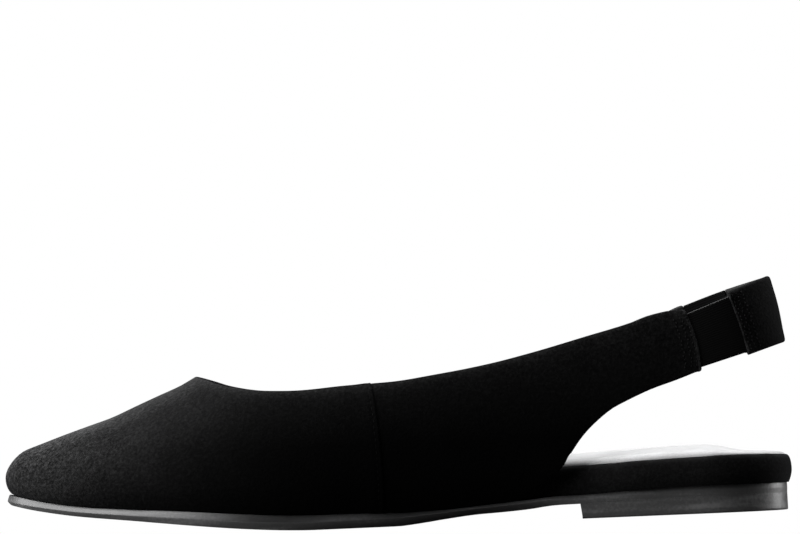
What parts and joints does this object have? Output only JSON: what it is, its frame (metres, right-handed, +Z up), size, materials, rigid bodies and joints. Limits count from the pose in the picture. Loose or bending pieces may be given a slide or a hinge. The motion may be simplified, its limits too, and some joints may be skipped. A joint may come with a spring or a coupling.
{
  "type": "sling back flat",
  "caption": "Low sling back shoe for the left foot: closed rounded toe, open sides at the heel, elastic sling strap, covered footbed, thin sole and low heel.",
  "frame": {"origin": "on the floor, under the middle of the heel's floor face", "axes": "+X forward to the toe, +Y to the outer side of the left foot, +Z up"},
  "size_m": [0.2518, 0.0805, 0.0745],
  "materials": {
    "suede": "black suede with a fine short nap",
    "sole_rubber": "black, semi-gloss edge",
    "sock": "light grey, smooth, padded",
    "elastic": "black ribbed elastic"
  },
  "bodies": {
    "root": {"outsole": "sole_rubber", "heel": "sole_rubber", "footbed": "suede", "sock": "sock", "upper": "suede", "elastic_lateral": "elastic", "elastic_medial": "elastic", "heel_strap": "suede"}
  },
  "joints": []
}
